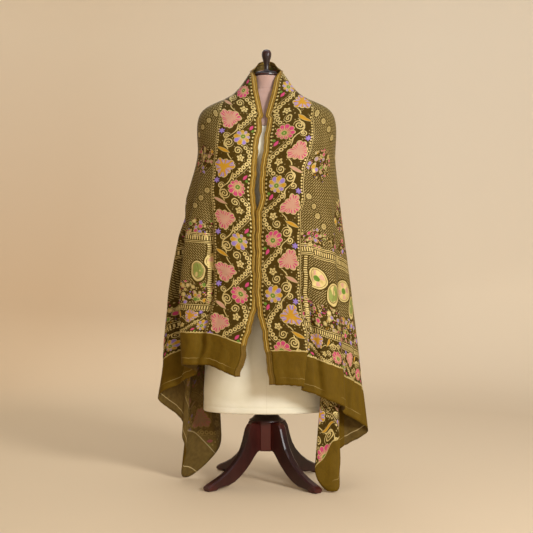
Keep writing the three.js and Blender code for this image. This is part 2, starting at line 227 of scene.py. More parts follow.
flat_floor = SWEEP_RADIUS - SWEEP_CURVE
sweep_profile = [(0.001, 0.0), (1.5, 0.0), (3.0, 0.0), (flat_floor, 0.0)]
for k in range(1, 17):
    angle = math.pi / 2 * k / 16
    sweep_profile.append((flat_floor + SWEEP_CURVE * math.sin(angle), SWEEP_CURVE * (1 - math.cos(angle))))
sweep_profile.append((SWEEP_RADIUS, SWEEP_HEIGHT))
sweep_profile = [(radius, height - FLOOR_DROP) for radius, height in sweep_profile]
sweep = lathe("studio_sweep", sweep_profile, 96, (AXIS_X, AXIS_Y), closed_ends=False)
sweep.data.flip_normals()
smooth(sweep)
sweep_paint, shader, start = new_material("sweep_paint")
spot = start.object_place()
split = spot.node("ShaderNodeSeparateXYZ", None, {0: spot})
flat_spot = spot.node("ShaderNodeVectorMath", {"operation": "MULTIPLY"}, {0: spot, 1: (1.0, 1.0, 0.0)})
out_from_stand = flat_spot.node("ShaderNodeVectorMath", {"operation": "LENGTH"}, {0: flat_spot}, out=1)
# Painted light: floor and wall are painted lighter towards the right, as painted light falling off to the
# left. The wall is also painted paler higher up.
painted_light_to_right = split.scaled(0.30, 0.52)
far = out_from_stand.scaled(0.34, -0.7)
floor_paint = painted_light_to_right.over((0.635, 0.49, 0.32), (0.585, 0.46, 0.32))
high = split.output_at(2).scaled(0.42, -0.25)
low_paint = painted_light_to_right.over((0.64, 0.475, 0.305), (0.78, 0.645, 0.475))
high_paint = painted_light_to_right.over((0.74, 0.65, 0.51), (0.785, 0.70, 0.575))
wall_paint = high.over(low_paint, high_paint)
feed(shader, "Base Color", far.over(floor_paint, wall_paint))
# Painted glow: out past the floor, the wall emits a little light of its own, brighter towards the right.
glow = painted_light_to_right.over((0.13, 0.088, 0.052), (0.165, 0.14, 0.105))
feed(shader, "Emission Color", far.over((0.0, 0.0, 0.0), glow))
feed(shader, "Emission Strength", 1.0)
feed(shader, "Roughness", 0.95)
feed(shader, "Specular IOR Level", 0.1)
sweep.data.materials.append(sweep_paint)

LAMPS = [
    # name, place, aimed at, size, power
    ("key_lamp", (2.7, -3.35, 2.4), (0, 0, 0.8), 1.3, 186.0),
    ("front_lamp", (-0.8, -4.4, 1.4), (0, 0, 0.7), 2.4, 17.0),
    ("top_lamp", (0.0, 0.3, 4.4), (0, 0, 0.5), 3.0, 48.0),
    ("back_lamp", (-0.6, 3.6, 2.6), (0, 0, 0.9), 2.6, 34.0),
]
for name, place, aim, size, power in LAMPS:
    lamp_data = bpy.data.lights.new(name, "AREA")
    lamp_data.shape = "DISK"
    lamp_data.size = size
    lamp_data.energy = power
    lamp_data.color = (0.97, 0.985, 1.0)
    lamp = bpy.data.objects.new(name, lamp_data)
    lamp.location = place
    lamp.rotation_euler = (Vector(aim) - Vector(place)).to_track_quat("-Z", "Y").to_euler()
    bpy.context.scene.collection.objects.link(lamp)
world = bpy.data.worlds.new("studio_light")
world.use_nodes = True
world.node_tree.nodes["Background"].inputs[0].default_value = (0.93, 0.97, 1.0, 1.0)
world.node_tree.nodes["Background"].inputs[1].default_value = 0.38
bpy.context.scene.world = world

# Dupatta: one woven length of silk brocade, 2455 x 1080 mm, that stands round the back of the neck,
# lies on the shoulders and falls to both sides, its low corners hanging beside the stand.
# It is one shell, 1.2 mm thick, over lines of fall that go from the gold edging down to the hem.
MM = 0.001
CLOTH_WALL = 1.2
CLOTH_ACROSS = 1080
FLAT_EDGE = 22.0
SHOULDERS = [
    # bearing, edging x y z, neck base x y z, rim x y z, chest x y z
    (4, -28, -94, 1302, -33, -98, 1292, -37, -104, 1278, -50, -150, 1140),
    (22, -36, -84, 1342, -62, -94, 1322, -96, -114, 1288, -116, -158, 1142),
    (38, -46, -66, 1392, -90, -82, 1354, -160, -106, 1292, -178, -142, 1142),
    (55, -51, -43, 1438, -106, -56, 1378, -212, -74, 1306, -226, -100, 1142),
    (72, -55, -20, 1462, -116, -25, 1389, -236, -36, 1315, -250, -50, 1143),
    (90, -56, 5, 1474, -120, 6, 1391, -242, 2, 1318, -257, 4, 1143),
    (110, -52, 29, 1483, -113, 38, 1393, -232, 46, 1320, -247, 54, 1144),
    (130, -42, 47, 1493, -95, 64, 1398, -198, 84, 1322, -214, 98, 1146),
    (150, -28, 57, 1505, -63, 82, 1403, -134, 108, 1326, -148, 130, 1150),
    (180, 0, 61, 1512, 0, 92, 1410, 0, 120, 1332, 0, 150, 1156),
]
RIGHT_SIDE_SHIFT = -16
RIM_SHARE = 0.984
CHEST_SHARE = 0.962
RIGHT_EDGE_SHIFT = (0, -14, -18, -45)
RIGHT_EDGE_FORWARD = (0, 0, -2, -6)
EDGE_FADE = 60
FOLDS = [
    # name, bearing, hem x y z, bow x y, flat length and width at the hem
    ("left_edge", -4, -113, -195, 395, 24, 0, -1225, 22),
    ("left_border_middle", -22, -163, -187, 417, 12, 0, -1225, 90),
    ("left_border_crease", -38, -204, -160, 433, 2, 0, -1225, 150),
    ("left_panel", -46, -251, -164, 432, 0, 0, -1225, 195),
    ("left_panel_fold", -54, -301, -132, 430, -8, 0, -1225, 240),
    ("left_turn_in", -61, -236, -98, 400, 12, 6, -1225, 320),
    ("left_turn_out", -69, -302, -78, 366, 0, 6, -1225, 395),
    ("left_rim", -84, -396, -20, 303, 0, 0, -1225, 500),
    ("left_rear", -92, -345, 20, 252, 0, 4, -1225, 600),
    ("left_rear_in", -98, -300, 18, 208, -8, 0, -1225, 690),
    ("left_tail_front", -103, -307, 10, 156, 4, 0, -1225, 790),
    ("left_tail_face", -107, -287, 8, 105, 2, 0, -1225, 870),
    ("left_tail_curl", -111, -312, 26, 16, 22, 6, -1225, 1000),
    ("left_tip", -115, -278, 44, 5, 26, 8, -1225, 1080),
    ("left_tail_inner", -119, -204, 60, 66, 5, 4, -1135, 1080),
    ("left_tail_back", -124, -166, 100, 124, 0, 6, -1050, 1080),
    ("left_hollow", -129, -182, 118, 222, 0, 4, -935, 1080),
    ("left_back_rise", -134, -226, 114, 300, 0, 0, -830, 1080),
    ("back_1_out", -139, -294, 136, 352, 0, 0, -735, 1080),
    ("back_2_in", -144, -226, 160, 392, 0, 0, -620, 1080),
    ("back_3_out", -151, -186, 216, 412, 0, 0, -505, 1080),
    ("back_4_in", -159, -118, 170, 425, 0, 0, -385, 1080),
    ("back_5_out", -166, -78, 236, 434, 0, 0, -265, 1080),
    ("back_6_in", -174, -22, 180, 440, 0, 0, -140, 1080),
    ("back_7_out", -181, 36, 240, 441, 0, 0, -20, 1080),
    ("back_8_in", -188, 92, 184, 438, 0, 0, 95, 1080),
    ("back_9_out", -196, 150, 226, 430, 0, 0, 215, 1080),
    ("back_10_in", -203, 192, 164, 420, 0, 0, 335, 1080),
    ("back_11_out", -211, 262, 180, 412, 0, 0, 455, 1080),
    ("back_12_in", -219, 250, 112, 406, 0, 0, 560, 1080),
    ("right_back_rise", -227, 302, 66, 402, 0, 0, 640, 1080),
    ("right_hollow", -233, 250, 14, 386, 0, 0, 720, 1080),
    ("right_tail_back", -239, 224, -60, 350, 8, 0, 815, 1080),
    ("right_tail_inner", -243, 200, -98, 290, 8, 0, 900, 1080),
    ("right_tail_fold", -247, 180, -142, 160, 8, -6, 1030, 1080),
    ("right_tail_low", -250, 165, -174, 62, 10, -4, 1130, 1080),
    ("right_tail_corner", -253, 197, -190, 11, -2, 6, 1185, 1080),
    ("right_tip", -256, 223, -199, 5, -3, 12, 1230, 1080),
    ("right_tail_kink", -259, 247, -196, 10, -4, 9, 1230, 1050),
    ("right_tail_waist", -262, 250, -174, 50, 2, 12, 1230, 1000),
    ("right_tail_rim", -265, 250, -144, 88, 9, 6, 1230, 930),
    ("right_turn", -269, 238, -92, 112, 20, -2, 1230, 860),
    ("right_rear", -274, 272, -46, 132, 14, -6, 1230, 790),
    ("right_rim", -280, 366, -58, 186, 0, 0, 1230, 680),
    ("right_turn_out", -289, 316, -96, 232, 4, 0, 1230, 570),
    ("right_turn_in", -297, 264, -118, 262, 0, 4, 1230, 500),
    ("right_panel_fold", -304, 272, -164, 288, 4, 0, 1230, 440),
    ("right_panel", -311, 222, -180, 309, 2, 0, 1230, 350),
    ("right_knife_out", -318, 168, -188, 334, 0, 0, 1230, 262),
    ("right_knife_in", -324, 116, -184, 349, 20, 0, 1230, 205),
    ("right_knife_fold", -328, 132, -206, 362, 24, 0, 1230, 158),
    ("right_border_middle", -339, 96, -210, 366, -8, 0, 1230, 90),
    ("right_edge", -356, 33, -202, 368, -29, 0, 1230, 22),
]
# Flat length at the edging, and flat length and width at the shoulder's rim, by bearing.
FLAT_AT_RINGS = [
    # bearing, length at edging, length at rim, width at rim
    (4, 290, 314, 22), (22, 250, 311, 88), (38, 200, 309, 152), (55, 150, 309, 214),
    (72, 118, 314, 252), (90, 92, 318, 272), (110, 66, 292, 270), (130, 44, 232, 258),
    (150, 24, 140, 240), (180, 0, 0, 215),
]
RINGS = [0, 90, 220, 380, 800, 1220]
COLUMNS_PER_FOLD = 4
FINER = 2
FOLD_COLUMNS = COLUMNS_PER_FOLD * FINER
ROW_STEPS = [5, 8, 10, 40, 44]


def curve_through(knots, rows):
    """A smooth curve through rows of numbers at the given knots."""
    knots, rows = np.asarray(knots, float), np.asarray(rows, float)
    count = len(knots)
    before = np.maximum(np.arange(count) - 1, 0)
    after = np.minimum(np.arange(count) + 1, count - 1)
    span = (knots[after] - knots[before]).reshape((-1,) + (1,) * (rows.ndim - 1))
    slope = (rows[after] - rows[before]) / span

    def at(places):
        places = np.atleast_1d(np.asarray(places, float))
        i = np.clip(np.searchsorted(knots, places, side="right") - 1, 0, count - 2)
        width = knots[i + 1] - knots[i]
        t = (places - knots[i]) / width
        shape = (-1,) + (1,) * (rows.ndim - 1)
        t, width = t.reshape(shape), width.reshape(shape)
        return (
            (1 + 2 * t) * (1 - t) ** 2 * rows[i]
            + t * (1 - t) ** 2 * width * slope[i]
            + t * t * (3 - 2 * t) * rows[i + 1]
            + t * t * (t - 1) * width * slope[i + 1]
        )

    return at


def table_curve(table):
    """A smooth curve through a table whose first column is the knot."""
    return curve_through([row[0] for row in table], [row[1:] for row in table])


def distance_along(grid):
    """Distance along each row of a grid of points, from its first column."""
    steps = np.linalg.norm(np.diff(grid, axis=1), axis=2)
    return np.concatenate([np.zeros((len(grid), 1)), np.cumsum(steps, axis=1)], 1)


hem_points = np.array([row[2:5] for row in FOLDS], float)
hem_gaps = np.linalg.norm(np.diff(hem_points, axis=0), axis=1)
fold_knots = np.concatenate([[0], np.cumsum(hem_gaps**0.5)])
coarse = []
for k in range(len(FOLDS) - 1):
    for step in range(COLUMNS_PER_FOLD):
        coarse.append(fold_knots[k] + (fold_knots[k + 1] - fold_knots[k]) * step / COLUMNS_PER_FOLD)
coarse.append(fold_knots[-1])
hangs = curve_through(fold_knots, [row[1:] for row in FOLDS])(coarse)
for _ in range(2):
    hangs[1:-1] = 0.5 * hangs[1:-1] + 0.25 * (hangs[:-2] + hangs[2:])
column_places = np.arange(0, len(coarse) - 1 + 1e-6, 1 / FINER)
hangs = curve_through(np.arange(len(coarse)), hangs)(column_places)
signed_bearing = np.where(hangs[:, 0] > -180, hangs[:, 0], hangs[:, 0] + 360)
bearing = np.abs(signed_bearing)
on_left = signed_bearing < 0
rings = table_curve(SHOULDERS)(bearing).reshape(-1, 4, 3)
rings[:, 2, 0] *= RIM_SHARE
rings[:, 3, 0] *= CHEST_SHARE
fade = np.maximum(0, 1 - bearing / EDGE_FADE) ** 2
for ring in range(4):
    right = ~on_left
    rings[right, ring, 0] = -rings[right, ring, 0] + RIGHT_EDGE_SHIFT[ring] * fade[right]
    rings[right, ring, 1] += RIGHT_EDGE_FORWARD[ring] * fade[right]
rings[~on_left, 0, 0] += RIGHT_SIDE_SHIFT * np.maximum(0, 1 - bearing[~on_left] / 90)
hem = hangs[:, 1:4]
middle = (rings[:, 3] + hem) / 2
middle[:, :2] += hangs[:, 4:6]
stations = []
for k, steps in enumerate(ROW_STEPS):
    stations += [RINGS[k] + (RINGS[k + 1] - RINGS[k]) * s / steps for s in range(steps)]
stations.append(RINGS[-1])
lines = np.stack([rings[:, 0], rings[:, 1], rings[:, 2], rings[:, 3], middle, hem])
cloth = curve_through(RINGS, lines)(stations)

# the left side swells a little outward between the shoulder and the hem
LEFT_SWELL = [
    # height, distance outward
    (0, 0), (430, 0), (542, 16), (686, 32), (881, 34), (1014, 23), (1111, 8), (1190, 0), (1600, 0),
]
SWELL_FROM = 165
SWELL_SPREAD = 90
swell = np.interp(cloth[..., 2], [row[0] for row in LEFT_SWELL], [row[1] for row in LEFT_SWELL])
swell_share = np.clip((-cloth[..., 0] - SWELL_FROM) / SWELL_SPREAD, 0, 1)
cloth[..., 0] -= swell * swell_share * swell_share * (3 - 2 * swell_share)
# the raw ends are a little uneven
ragged = np.random.default_rng(7).normal(0, 0.9, cloth.shape[1])
cloth[-1, :, 2] += np.clip(ragged, -1.4, 1.4) * (np.abs(hangs[:, 7] - CLOTH_ACROSS) > 30)

# the opening's edge: x of the gold edging's inner side on the left and the right, by height
OPENING = [
    # height, left, right
    (330, -94, 11), (400, -90, 6), (451, -73, -1), (509, -66, -10), (560, -52, -18), (645, -31, -35.5),
    (800, -30.5, -36), (954, -32, -34.5), (1005, -39, -23), (1066, -37, -25), (1111, -33, -21),
    (1150, -30, -15), (1196, -28, -9), (1262, -9, -4),
]
OPENING_LOW, OPENING_HIGH = OPENING[0][0], OPENING[-1][0]
OPENING_TOP = 1290
OPENING_FADE = 60
OPENING_COLUMNS = 15 * FOLD_COLUMNS
OPENING_REACH = 150
EDGING_WIDTH = 17
opening = table_curve(OPENING)


def columns_from(side, count):
    """The first columns counted from the left edging (side 0) or from the right edging (side 1)."""
    order = np.arange(cloth.shape[1])
    return order[:count] if side == 0 else order[::-1][:count]


for column, side, field in ((0, -1, 0), (cloth.shape[1] - 1, 1, 1)):
    heights = cloth[:, column, 2]
    wave = 1.4 * np.sin(heights * 0.071) + 1.0 * np.sin(heights * 0.163)
    wanted = opening(np.clip(heights, OPENING_LOW, OPENING_HIGH))[:, field] + side * EDGING_WIDTH + wave
    low_enough = np.clip((OPENING_TOP - heights) / OPENING_FADE, 0, 1)
    shift = (wanted - cloth[:, column, 0]) * low_enough
    front = columns_from(field, OPENING_COLUMNS)
    away = distance_along(cloth[:, front])
    weight = np.clip(1 - away / OPENING_REACH, 0, 1) ** 1.5
    cloth[:, front, 0] += shift[:, None] * weight

# flat coordinates of every point of the cloth
flat_rings = table_curve(FLAT_AT_RINGS)(bearing)
side_sign = np.where(on_left, -1.0, 1.0)
flat_edge = np.stack([side_sign * flat_rings[:, 0], np.full(len(bearing), FLAT_EDGE)], 1)
flat_rim = np.stack([side_sign * flat_rings[:, 1], flat_rings[:, 2]], 1)
flat_hem = hangs[:, 6:8]
run = distance_along(cloth.swapaxes(0, 1)).T
rim_row = ROW_STEPS[0] + ROW_STEPS[1]
above_rim = np.arange(len(stations)) < rim_row
below_rim = (run - run[rim_row]) / (run[-1] - run[rim_row])
down = np.where(above_rim[:, None], run / run[rim_row], below_rim)
flat = np.where(
    above_rim[:, None, None],
    flat_edge[None] + (flat_rim - flat_edge)[None] * down[..., None],
    flat_rim[None] + (flat_hem - flat_rim)[None] * down[..., None],
)

# on the two fronts the width is as measured on the cloth, so that the border keeps its true size
TRUE_WIDTH = 300
FADE_WIDTH = 470
TRUE_BELOW = 1230
TRUE_FADE = 120
FRONT_COLUMNS = 11 * FOLD_COLUMNS
for field in (0, 1):
    front = columns_from(field, FRONT_COLUMNS)
    away = distance_along(cloth[:, front])
    across = FLAT_EDGE + away * (0.98 if field == 0 else 1.0)
    share = np.clip((FADE_WIDTH - across) / (FADE_WIDTH - TRUE_WIDTH), 0, 1)
    share = share * share * (3 - 2 * share)
    height_share = np.clip((TRUE_BELOW - cloth[:, front, 2]) / TRUE_FADE, 0, 1)
    share *= height_share
    flat[:, front, 1] += (np.minimum(across, FADE_WIDTH) - flat[:, front, 1]) * share


def grid_normals(grid):
    """Outward directions of a grid of points."""
    along = np.gradient(grid, axis=0)
    across = np.gradient(grid, axis=1)
    normals = np.cross(across, along)
    return normals / np.maximum(np.linalg.norm(normals, axis=2, keepdims=True), 1e-9)


# Creases: each is a soft trough (below zero) or ridge between two places on the flat cloth.
CREASES = [
    # from length, width; to length, width; depth, half width
    (-1225, 166, -560, 172, -14.0, 11),
    (-1225, 146, -700, 150, 5.0, 8),
    (-1225, 212, -800, 206, 4.0, 11),
    (-1225, 58, -1105, 70, -2.6, 7),
    (-1225, 104, -1116, 100, -2.2, 6),
    (-1225, 36, -1000, 30, 2.0, 8),
    (-1225, 408, -480, 345, -46.0, 20),
    (-1225, 440, -820, 428, -4.0, 10),
    (-1225, 462, -900, 470, 4.0, 9),
    (-1225, 545, -700, 480, -6.0, 13),
    (-900, 420, -520, 330, -4.0, 14),
    (-640, 300, -380, 210, -2.5, 15),
    (1230, 62, 1105, 74, -3.0, 8),
    (1230, 118, 1112, 110, -2.6, 7),
    (1230, 40, 960, 34, 2.4, 9),
    (1230, 222, 820, 196, -12.0, 12),
    (1230, 250, 960, 236, 3.0, 9),
    (1230, 300, 1000, 286, -4.0, 9),
    (1230, 330, 1060, 324, 3.0, 7),
    (1230, 392, 900, 350, -6.0, 11),
    (1230, 470, 1010, 440, -5.0, 9),
    (1230, 500, 1120, 492, 3.5, 7),
    (1230, 540, 940, 500, -6.0, 10),
    (1230, 610, 980, 590, -5.0, 11),
    (980, 360, 560, 262, -4.0, 15),
    (700, 330, 420, 216, -2.6, 15),
    (1230, 730, 900, 700, -6.0, 12),
    (1200, 980, 1010, 900, -4.0, 10),
    (-1180, 1010, -1040, 900, -5.0, 12),
    (-1080, 1060, -960, 860, -5.0, 12),
    (-690, 1080, -430, 560, -6.0, 16),
    (-560, 1080, -330, 520, 5.0, 15),
    (-330, 1080, -190, 480, -7.0, 17),
    (-200, 1080, -110, 600, 5.0, 14),
    (-80, 1080, -50, 460, -6.0, 16),
    (60, 1080, 30, 560, 5.0, 14),
    (150, 1080, 100, 450, -7.0, 16),
    (270, 1080, 160, 580, 4.0, 13),
    (400, 1080, 250, 470, -6.0, 16),
    (520, 1080, 330, 600, 5.0, 14),
    (700, 1080, 420, 560, -6.0, 15),
]
normals = grid_normals(cloth)
rise = np.zeros(cloth.shape[:2])
for from_long, from_wide, to_long, to_wide, depth, half_width in CREASES:
    direction = np.array([to_long - from_long, to_wide - from_wide], float)
    crease_length = np.linalg.norm(direction)
    direction /= crease_length
    offset = flat - np.array([from_long, from_wide], float)
    along = offset @ direction
    beside = offset[..., 0] * -direction[1] + offset[..., 1] * direction[0]
    fading = np.clip(along / (0.25 * crease_length) + 0.6, 0, 1)
    fading = fading * np.clip((crease_length - along) / (0.35 * crease_length), 0, 1)
    rise += depth * np.exp(-((beside / half_width) ** 2)) * fading**2 * (3 - 2 * fading)
cloth = cloth + normals * rise[..., None]
normals = grid_normals(cloth)


def shell(name, grid, grid_flat, outward, wall, turned_over=None):
    """A closed shell of the given thickness in mm round a grid of points.

    Slot 0 is its face and slot 1 its back. `turned_over` gives the columns between which
    the back is as bright as the face.
    """
    rows, columns = grid.shape[:2]
    face = grid + outward * wall / 2
    back = grid - outward * wall / 2
    points = np.concatenate([face.reshape(-1, 3), back.reshape(-1, 3)]) * MM
    points[:, 0] += AXIS_X
    points[:, 1] += AXIS_Y
    index = np.arange(rows * columns).reshape(rows, columns)
    a, b, c, d = index[:-1, :-1], index[:-1, 1:], index[1:, 1:], index[1:, :-1]
    outer = np.stack([a, b, c, d], -1).reshape(-1, 4)
    inner = np.stack([a, d, c, b], -1).reshape(-1, 4) + rows * columns
    rim = np.concatenate([index[0], index[1:, -1], index[-1, -2::-1], index[-2:0:-1, 0]])
    following = np.roll(rim, -1)
    edge = np.stack([following, rim, rim + rows * columns, following + rows * columns], -1)
    faces = np.concatenate([outer, inner, edge])
    mesh = bpy.data.meshes.new(name)
    mesh.vertices.add(len(points))
    mesh.vertices.foreach_set("co", points.ravel())
    mesh.loops.add(faces.size)
    mesh.loops.foreach_set("vertex_index", faces.ravel().astype(np.int32))
    mesh.polygons.add(len(faces))
    mesh.polygons.foreach_set("loop_start", np.arange(0, faces.size, 4, dtype=np.int32))
    behind = np.ones((rows - 1, columns - 1))
    if turned_over:
        behind[:, turned_over[0] : turned_over[1]] = 0
    slots = np.concatenate([np.zeros(len(outer)), behind.ravel(), np.zeros(len(edge))]).astype(np.int32)
    mesh.polygons.foreach_set("material_index", slots)
    mesh.polygons.foreach_set("use_smooth", np.ones(len(faces), bool))
    layer = mesh.uv_layers.new(name="flat")
    both = np.concatenate([grid_flat.reshape(-1, 2)] * 2) * MM
    layer.data.foreach_set("uv", both[faces.ravel()].ravel())
    mesh.update(calc_edges=True)
    mesh.validate()
    piece = bpy.data.objects.new(name, mesh)
    bpy.context.scene.collection.objects.link(piece)
    return piece


# the right tail turns over, so its inner side there is the face of the cloth
fold_names = [row[0] for row in FOLDS]
tail_columns = [fold_names.index(name) * FOLD_COLUMNS for name in ("right_tail_inner", "right_rear")]
dupatta = shell("dupatta", cloth, flat, normals, CLOTH_WALL, tail_columns)


def shade(code):
    """A colour from its six-digit code, as the shader wants it."""
    parts = [int(code[k : k + 2], 16) / 255 for k in (0, 2, 4)]
    return tuple(c / 12.92 if c <= 0.04045 else ((c + 0.055) / 1.055) ** 2.4 for c in parts)


def reach(dx, dy):
    """Length of an offset."""
    pair = dx.node("ShaderNodeCombineXYZ", None, {0: dx, 1: dy})
    return pair.node("ShaderNodeVectorMath", {"operation": "LENGTH"}, {0: pair}, out=1)


def repeat_round(course, place, period):
    """Offset from the nearest of a row of places, and the number of that place."""
    turned = course * (1 / period) + (0.5 - place / period)
    number = turned.floor()
    return (turned - number) * period - period / 2, number


def stroke(distance, half_width, soft=0.7):
    """A line of that half width where the distance passes zero."""
    return (distance.size() - half_width).inside(soft)


END_LEFT, END_RIGHT = 1225, 1230
PLAIN_END = 118
CROSS_BORDER = 84
PALLU = 462
BORDER_WIDTH = 160
REPEAT = 187.0
VINE_SWING = 27.0
PETALS = 10
# motifs of the border, in each repeat: how far along it, and how far in from its edge
ROUND_FLOWER = (73, 68)
BLOSSOM = (146, 118)
FLORET = (183, 64)
LEAF_DASH = (24, 128)
LEAF_SPOT = (104, 36)
BUD = (116, 43)
STAR = (98, 140)
SCROLLS = [
    # place, radius, hand, pitch
    ((22, 76), 14.5, 1, 8.4), ((51, 111), 19, -1, 8.8), ((80, 122), 11.5, 1, 7.6),
]
# net and posies of the field, and bands and medallions near its ends
DIAGONAL = 0.7071
NET_LINE = 6.3
NET_DASH = 15.5
POSY_ROW = 150
POSY_REPEAT = 290
MEDALLION_REPEAT = 172
TOP_BAND = 461
LOW_BAND = 208
LADDER = 176


def from_motif(course, inset, place):
    """Offset from the nearest of a motif's places in the border, and the number of its repeat."""
    dx, number = repeat_round(course, place[0], REPEAT)
    return dx, inset - place[1], number


def woven_border(course, inset, place, wobble):
    """Masks of the border's pattern at a course along it and an inset from its edge, by yarn."""
    # undulating vine of small rings
    turn = course * (2 * math.pi / REPEAT)
    steep = 2 * math.pi * VINE_SWING / REPEAT
    from_vine = (inset - 60 + turn.cosine() * VINE_SWING) * (1 - (0.13 - (turn * 2).cosine() * 0.13))
    along_vine = course * (1 + steep**2 / 4) - (turn * 2).sine() * (steep**2 * REPEAT / (16 * math.pi))
    ring_gap = REPEAT * (1 + steep**2 / 4) / 14
    along_vine = along_vine + from_vine * turn.sine() * steep
    ring_reach = reach(((along_vine * (1 / ring_gap)).part() - 0.5) * ring_gap, from_vine)
    gold = stroke(ring_reach - 5.2, 2.0).most(stroke(from_vine + 11.0, 1.0) * 0.6)

    # scrolls
    for middle, radius, hand, pitch in SCROLLS:
        dx, dy, _ = from_motif(course, inset, middle)
        spiral_reach = reach(dx, dy)
        coil = (spiral_reach * (1 / pitch) + dy.maths("ARCTAN2", dx) * (hand / (2 * math.pi))).part() - 0.5
        gold = gold.most(stroke(coil * pitch, 1.9) * (spiral_reach - radius).inside())
    arabesque = (inset - 101 - turn.sine() * 21 - (turn * 3).cosine() * 5) * 0.8
    gold = gold.most(stroke(arabesque, 1.6) * (88 - inset).inside(3))
    dx, dy, _ = from_motif(course, inset, FLORET)
    floret_reach = reach(dx, dy)
    floret_rim = floret_reach - 11 - (dy.maths("ARCTAN2", dx) * 5).cosine() * 2.8
    floret = floret_rim.inside() * (1 - stroke(floret_reach - 4.8, 1.0))
    gold = (gold * (floret_rim - 3).maths("GREATER_THAN", 0)).most(floret)
    inner_beads = (reach(repeat_round(course, 0, 10.4)[0], inset - 151) - 3.2).inside()
    outer_beads = (reach(repeat_round(course, 0, 14.0)[0], inset - 28.5) - 3.4).inside()
    gold = gold.most(inner_beads.most(stroke(inset - 157.5, 0.9))).most(outer_beads)
    specks = place.cells(96.0, 0.85)[0]
    gold = gold.most((specks - 0.2).inside(0.16) * 0.7)

    # round fan-petalled flower that lies on the vine
    dx, dy, round_number = from_motif(course, inset, ROUND_FLOWER)
    round_reach = reach(dx, dy)
    fan_reach = reach(dx - 5, dy + 4)
    fan = (dy + 4).maths("ARCTAN2", dx - 5) * (PETALS / (2 * math.pi))
    petal = (fan.part() - 0.5).size()
    between = (0.5 - petal) * fan_reach * (2 * math.pi / PETALS)
    round_rim = round_reach - 30.5 + petal * petal * 24
    round_body = round_rim.inside()
    round_silk = (round_rim + 2.2).inside(1.2) * (1.5 - between).inside(1) * (8 - fan_reach).inside(1.5)
    round_silk = round_silk * (1 - stroke(petal * fan_reach * 0.63, 1.1) * (fan_reach - 20).inside(2))
    other_petal = (fan.floor() * 0.5).part() * 2
    left_shift = (course + 60).inside(1)
    violet_round = ((round_number + left_shift) * 0.5).part() * 2
    round_heart = (fan_reach - 8).inside() * (2.5 - fan_reach).inside()

    # three-lobed blossom on the outer side
    dx, dy, blossom_number = from_motif(course, inset, BLOSSOM)
    blossom_reach = reach(dx, dy)
    blossom_turn = dy.maths("ARCTAN2", dx)
    lobe_share = blossom_turn * (9 / (2 * math.pi)) - 1.25
    lobe = (lobe_share.part() - 0.5).size()
    blossom_rim = blossom_reach - 35.5 - (blossom_turn * 3 - 2.62).cosine() * 5.5
    blossom_rim = blossom_rim + lobe * lobe * 26 - wobble * 9
    blossom_body = blossom_rim.inside()
    between = (0.5 * blossom_reach - lobe * blossom_reach - 1.7).inside(1) * (-15 - blossom_rim).inside(2)
    blossom_silk = (blossom_rim + 2.9).inside(1.2) * (1 - between)
    blossom_dark = blossom_silk * (0.2 - lobe + wobble * 0.3).inside(0.1) * (-16 - blossom_rim).inside(4)
    blossom_dark = blossom_dark * (11 - blossom_reach).inside(2)
    blossom_vein = blossom_silk * stroke(lobe * blossom_reach * 0.7, 0.9) * (6 - blossom_reach).inside(2)
    gold = gold.most(blossom_vein * 0.7)
    yellow_blossom = ((blossom_number * 0.25).part() - 0.25).size().maths("LESS_THAN", 0.05)
    halo = (round_rim - 3.5).inside(1.5).most((blossom_rim - 3.5).inside(1.5))
    gold = (gold * (1 - halo)).most(round_body * (1 - round_silk) * 0.9)
    gold = gold.most(blossom_body * (1 - blossom_silk))
    gold = gold * (1 - round_heart)

    # leaf dashes, buds and small star flowers
    dx, dy, dash_number = from_motif(course, inset, LEAF_DASH)
    dash_along = dx * 0.447 + dy * 0.894
    dash = (dx * 0.894 - dy * 0.447).size() + dash_along * dash_along * 0.0085 - 6.6
    rust_dash = (dash_number * 0.5).part() * 2
    dx, dy, _ = from_motif(course, inset, BUD)
    bud_along = dx * 0.866 - dy * 0.5
    bud = (dx * 0.5 + dy * 0.866).size() + bud_along * bud_along * 0.04 - 5.2
    dx, dy, _ = from_motif(course, inset, LEAF_SPOT)
    leaf_spot = (reach(dx, dy) - 5).inside()
    dx, dy, _ = from_motif(course, inset, STAR)
    star = (reach(dx, dy) - 8 - (dy.maths("ARCTAN2", dx) * 6).cosine() * 2.6).inside()
    cover = (dash - 2.5).inside(1).most((bud - 2.5).inside(1)).most(star)
    gold = gold * (1 - cover * (1 - halo))
    gold = gold.most(dash.inside() * (1 - (dash + 1.6).inside()) * 0.8)
    pink = (round_silk * (1 - violet_round)).most(blossom_dark * (1 - yellow_blossom)).most(bud.inside())
    salmon = (blossom_silk * (1 - yellow_blossom)).most((dash + 1.6).inside() * rust_dash)
    violet = (round_silk * violet_round * other_petal).most(blossom_dark * yellow_blossom).most(star)
    orange = (round_silk * violet_round * (1 - other_petal)).most(blossom_silk * yellow_blossom)
    orange = orange.most((dash + 1.6).inside() * (1 - rust_dash))
    green = round_heart.most(leaf_spot)
    return gold, pink, salmon, violet, orange, green


